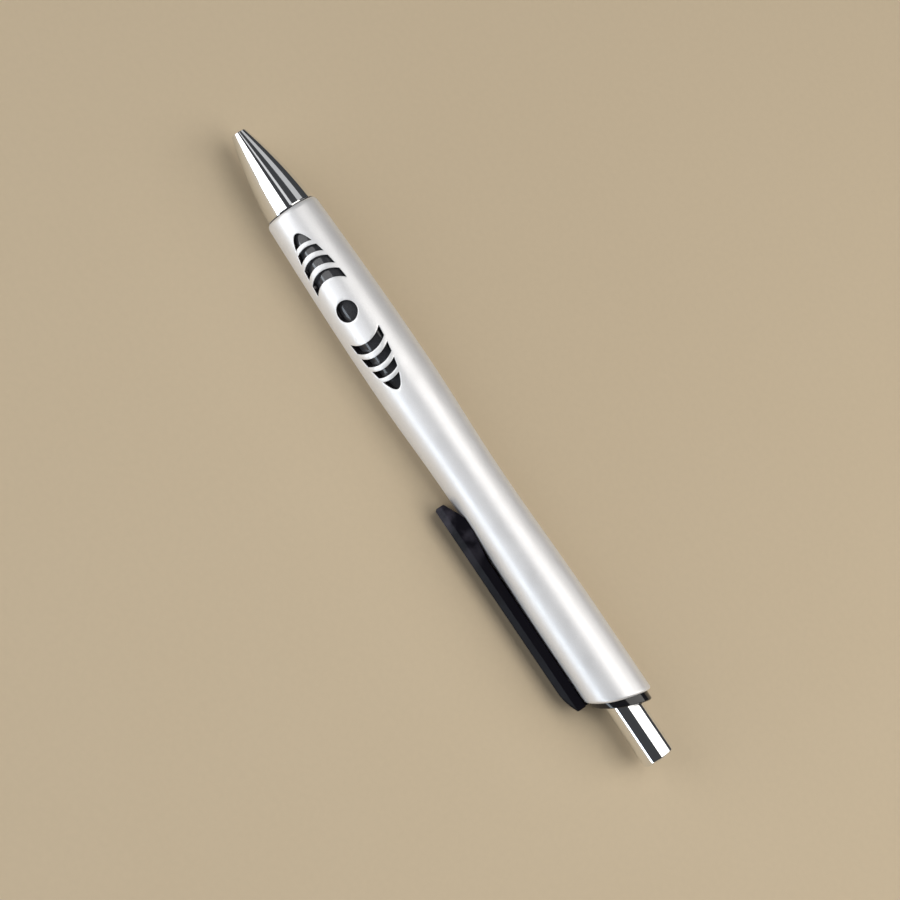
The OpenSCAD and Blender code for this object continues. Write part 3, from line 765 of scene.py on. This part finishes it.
class PEN_OT_barrel(bpy.types.Operator):
    """Adds the silver barrel with its windows"""

    bl_idname = "pen.barrel"
    bl_label = "Barrel"

    def execute(self, context):
        s = sizes()
        wall = barrel_wall(s)
        rim = slanted_end(wall, s)
        slanted_row(wall, s, ROUND_REACH * s.rear_round)
        slanted_row(wall, s, ROUND_REACH * s.rear_round + CROWN_FADE * s.end_crown)
        soften(wall, rim, s.rear_round, 6)
        crowned_end(wall, s)
        half = s.root_w / 2 + s.fit
        notch = box_mesh((s.root_in, -half, s.root_at - s.fit), (s.clip_outer_r, half, s.total_len))
        shell = carved(wall, [notch])
        for face in shell.faces:
            middle = face.calc_center_median()
            in_grip = s.nose_len + s.lip_len < middle.z < s.liner_end
            if in_grip and middle.xy.length < barrel_radius(s, middle.z) - WALL_REACH * s.rim_round:
                face.material_index = 1
        finishes = [silver_lacquer(), black_gloss()]
        piece("barrel_shell", shell, finishes, "pen_body", ["barrel"], s)
        return {"FINISHED"}


class PEN_OT_nose_cone(bpy.types.Operator):
    """Adds the chrome nose cone"""

    bl_idname = "pen.nose_cone"
    bl_label = "Nose cone"

    def execute(self, context):
        s = sizes()
        lip = (s.tip_r - s.guide_r) / 2
        lip_steps, steps = 5, 60
        outline = [(s.guide_r + lip + lip * math.cos(a), lip - lip * math.sin(a))
                   for a in (math.pi - RIGHT * i / lip_steps for i in range(lip_steps + 1))]
        outline += [(nose_radius(s, z), z)
                    for z in (mix(lip, s.nose_len, i / steps) for i in range(steps + 1))]
        spigot_end = s.nose_len + s.spigot_len
        outline += [(s.spigot_r, s.nose_len), (s.spigot_r, spigot_end), (s.chamber_r, spigot_end),
                    (s.chamber_r, s.guide_len), (s.guide_r, s.guide_len)]
        bm = spun(outline)
        rim = [e for e in corner_edges(bm) if all(math.hypot(*v.co.xy) > s.spigot_r + s.fit for v in e.verts)
               and all(v.co.z > s.nose_len / 2 for v in e.verts)]
        soften(bm, rim, s.nose_round, 2)
        piece("nose_cone_shell", bm, [chrome_plating()], "pen_body", ["nose_cone"], s)
        return {"FINISHED"}


class PEN_OT_grip_liner(bpy.types.Operator):
    """Adds the black liner under the windows"""

    bl_idname = "pen.grip_liner"
    bl_label = "Grip liner"

    def execute(self, context):
        s = sizes()
        bm = spun([(s.liner_in, s.nose_len), (s.insert_r, s.nose_len),
                   (s.insert_r, s.liner_end), (s.liner_in, s.liner_end)], steps=COLUMNS)
        soften(bm, corner_edges(bm), s.liner_round, 2)
        piece("grip_liner_tube", bm, [liner_black()], "pen_body", ["grip_liner"], s)
        return {"FINISHED"}


class PEN_OT_clip(bpy.types.Operator):
    """Adds the black clip"""

    bl_idname = "pen.clip"
    bl_label = "Clip"

    def execute(self, context):
        s = sizes()
        half, face = s.clip_w / 2, s.clip_top_w / 2
        tail_r = (s.tail_len ** 2 + s.tail_drop ** 2) / (2 * s.tail_drop)
        tail_angle = math.asin(s.tail_len / tail_r)
        pad_edge = math.sqrt(s.pad_r ** 2 - half ** 2)
        lead = s.clip_start + s.lead_len
        steps = 12
        side = [(0, lead), (pad_edge, lead), (s.clip_outer_r - s.blunt_h, s.clip_start),
                (s.clip_outer_r - s.clip_chamfer, s.clip_start),
                (s.clip_outer_r, s.clip_start + s.clip_chamfer)]
        side += [(s.clip_outer_r - tail_r * (1 - math.cos(a)), s.clip_end - s.tail_len + tail_r * math.sin(a))
                 for a in (tail_angle * i / steps for i in range(steps + 1))]
        side += [(0, s.clip_end)]
        bm = bmesh.new()
        pulled(bm, [(x, -half, z) for x, z in side], (0, s.clip_w, 0))
        bmesh.ops.recalc_face_normals(bm, faces=bm.faces[:])
        rise = s.clip_outer_r - s.clip_bevel_r
        for sign in (-1, 1):
            normal = Vector((half - face, sign * rise, 0)).normalized()
            sliced(bm, (s.clip_bevel_r, sign * half, 0), normal, clear=True)
            bmesh.ops.holes_fill(bm, edges=[e for e in bm.edges if e.is_boundary])
        bmesh.ops.recalc_face_normals(bm, faces=bm.faces[:])
        edges = [e for e in corner_edges(bm, CLIP_ANGLE) if all(v.co.x > s.pad_r / 2 for v in e.verts)]
        soften(bm, edges, s.clip_round, 3)
        hollow = spun([(0, 0), (s.pad_r, 0), (s.pad_r, s.pad_end), (s.clip_under_r, s.pad_end + s.pad_ramp),
                       (s.clip_under_r, s.total_len), (0, s.total_len)], steps=192, closed=False)
        root = box_mesh((s.root_in, -s.root_w / 2, s.root_at),
                        (s.clip_bevel_r, s.root_w / 2, s.clip_end - s.fit))
        bm = carved(carved(bm, [hollow]), [root], "UNION")
        obj = piece("clip_moulding", bm, [black_satin()], "pen_body", ["clip"], s)
        obj.modifiers.new("even_shading", "WEIGHTED_NORMAL").keep_sharp = True
        return {"FINISHED"}


class PEN_OT_end_collar(bpy.types.Operator):
    """Adds the black collar round the button"""

    bl_idname = "pen.end_collar"
    bl_label = "End collar"

    def execute(self, context):
        s = sizes()
        low, high = s.barrel_end + s.fit / 2, s.barrel_end + s.collar_out
        bm = spun([(s.collar_bore, s.collar_at), (s.insert_r, s.collar_at), (s.insert_r, low),
                   (s.flange_r, low), (s.flange_r, high), (s.collar_bore, high)], steps=COLUMNS)
        rim = [e for e in bm.edges if all(v.co.z > high - SHORT for v in e.verts)
               and all(v.co.xy.length > s.flange_r - SHORT for v in e.verts)]
        for v in bm.verts:
            slant = FLANGE_SLANT if v.co.z > high - SHORT else SLANT if v.co.z > low - SHORT else 0.0
            v.co.z -= v.co.x * math.tan(slant) + (crown_drop(s, v.co.x) if slant else 0.0)
        soften(bm, rim, s.collar_round, 3)
        half = s.root_w / 2 + s.fit
        pocket = box_mesh((s.root_in - s.fit, -half, s.root_at - s.fit), (s.full_r, half, s.clip_end + s.fit))
        ring = carved(bm, [pocket])
        piece("end_collar_ring", ring, [black_gloss()], "pen_body", ["end_collar"], s)
        return {"FINISHED"}


class PEN_OT_push_button(bpy.types.Operator):
    """Adds the chrome push button"""

    bl_idname = "pen.push_button"
    bl_label = "Push button"

    def execute(self, context):
        s = sizes()
        wall = s.button_r - s.button_in
        side_end = s.total_len - s.button_chamfer
        bm = spun([(s.button_in, s.button_at), (s.button_r, s.button_at), (s.button_r, s.button_at + wall),
                   (s.button_r, side_end - wall / 2), (s.button_r, side_end),
                   (s.button_r - s.button_chamfer, s.total_len), (0, s.total_len), (0, s.total_len - wall),
                   (s.button_in, s.total_len - wall), (s.button_in, s.button_at)], closed=False)
        soften(bm, corner_edges(bm), s.button_round, 3)
        piece("push_button_cap", bm, [chrome_plating()], "plunger", ["push_button"], s)
        return {"FINISHED"}


class PEN_OT_refill_end(bpy.types.Operator):
    """Adds the brass point and its writing ball"""

    bl_idname = "pen.refill_end"
    bl_label = "Refill point"

    def execute(self, context):
        s = sizes()
        channel = s.ball_r / 2
        socket = s.ball_r + s.fit
        nib = s.ball_at - s.ball_r / 2
        mouth = math.asin((s.ball_at - nib) / socket)
        deepest = math.acos(channel / socket)
        steps = 10
        bowl = [(socket * math.cos(a), s.ball_at + socket * math.sin(a))
                for a in (mix(deepest, -mouth, i / steps) for i in range(steps + 1))]
        stem_end = s.tube_at + s.stem_len
        outline = [(channel, stem_end), *bowl, (socket + s.nib_wall, nib),
                   (s.point_r, s.ball_at + s.taper_len), (s.point_r, s.shoulder_at),
                   (s.tube_r, s.shoulder_at), (s.tube_r, s.tube_at),
                   (s.stem_r, s.tube_at), (s.stem_r, stem_end)]
        bm = spun(outline, steps=64)
        piece("refill_point_tip", bm, [turned_brass()], "refill", ["refill_point"], s)
        ball = bmesh.new()
        bmesh.ops.create_icosphere(ball, subdivisions=4, radius=s.ball_r)
        bmesh.ops.translate(ball, vec=(0, 0, s.ball_at), verts=ball.verts)
        piece("writing_ball_polished", ball, [drawn_steel()], "ball", ["writing_ball"], s)
        return {"FINISHED"}


class PEN_OT_return_spring(bpy.types.Operator):
    """Adds the coiled return spring"""

    bl_idname = "pen.return_spring"
    bl_label = "Return spring"

    def execute(self, context):
        s = sizes()
        round_wire = s.wire / 2
        first = s.guide_len + round_wire + s.fit
        last = s.guide_len + s.spring_len - round_wire - s.fit
        end_pitch = s.wire + TURN_GAP
        open_pitch = (last - first - 2 * end_pitch) / SPRING_TURNS
        bm = bmesh.new()
        bmesh.ops.create_circle(bm, segments=14, radius=round_wire, cap_ends=False)
        bmesh.ops.rotate(bm, cent=(0, 0, 0), matrix=Matrix.Rotation(RIGHT, 3, "X"), verts=bm.verts)
        bmesh.ops.translate(bm, vec=(s.spring_r, 0, first), verts=bm.verts)
        geom = bm.verts[:] + bm.edges[:]
        steps = 36
        for turns, pitch in ((1, end_pitch), (SPRING_TURNS, open_pitch), (1, end_pitch)):
            geom = bmesh.ops.spin(bm, geom=geom, cent=(0, 0, 0), axis=(0, 0, 1), dvec=(0, 0, pitch / steps),
                                  angle=TURN * turns, steps=steps * turns)["geom_last"]
        bmesh.ops.holes_fill(bm, edges=[e for e in bm.edges if e.is_boundary])
        coil = piece("return_spring_coil", bm, [drawn_steel()], "pen_body",
                     ["return_spring"], s)
        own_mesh(coil)
        return {"FINISHED"}


class PEN_OT_inner_finishes(bpy.types.Operator):
    """Gives the pieces of the push mechanism and the refill their finishes"""

    bl_idname = "pen.inner_finishes"
    bl_label = "Inner finishes"

    def execute(self, context):
        white, steel, ink = white_plastic(), drawn_steel(), thick_ink()
        finishes = {"cam_sleeve": white, "cam_pusher": white, "cam_rotor": white, "refill_tube": steel,
                    "ink_column": ink}
        for node, material in finishes.items():
            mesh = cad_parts[node].data
            mesh.materials.clear()
            mesh.materials.append(material)
        return {"FINISHED"}


OPERATORS = (PEN_OT_stage, PEN_OT_barrel, PEN_OT_nose_cone, PEN_OT_grip_liner, PEN_OT_clip,
             PEN_OT_end_collar, PEN_OT_push_button, PEN_OT_refill_end, PEN_OT_return_spring,
             PEN_OT_inner_finishes)


class PEN_PT_sidebar(bpy.types.Panel):
    """Lists the pen's pieces, sizes and colours"""

    bl_idname = "PEN_PT_sidebar"
    bl_label = "Pen"
    bl_space_type = "VIEW_3D"
    bl_region_type = "UI"
    bl_category = "Pen"

    def draw(self, context):
        for operator in OPERATORS:
            self.layout.operator(operator.bl_idname)
        for group, kind in ((context.scene.pen_sizes, PenSizes), (context.scene.pen_colours, PenColours)):
            box = self.layout.box()
            for key in kind.__annotations__:
                box.prop(group, key)


CLASSES = (PenSizes, PenColours, *OPERATORS, PEN_PT_sidebar)


def register():
    """Adds the classes and the pen's sizes and colours to Blender."""
    for cls in CLASSES:
        bpy.utils.register_class(cls)
    bpy.types.Scene.pen_sizes = bpy.props.PointerProperty(type=PenSizes)
    bpy.types.Scene.pen_colours = bpy.props.PointerProperty(type=PenColours)


def unregister():
    """Takes them out again."""
    del bpy.types.Scene.pen_colours
    del bpy.types.Scene.pen_sizes
    for cls in reversed(CLASSES):
        bpy.utils.unregister_class(cls)


def main():
    """Builds the pen."""
    register()
    bpy.ops.pen.stage()
    bpy.ops.pen.barrel()
    bpy.ops.pen.nose_cone()
    bpy.ops.pen.grip_liner()
    bpy.ops.pen.clip()
    bpy.ops.pen.end_collar()
    bpy.ops.pen.push_button()
    bpy.ops.pen.refill_end()
    bpy.ops.pen.return_spring()
    bpy.ops.pen.inner_finishes()


if __name__ == "__main__":
    main()
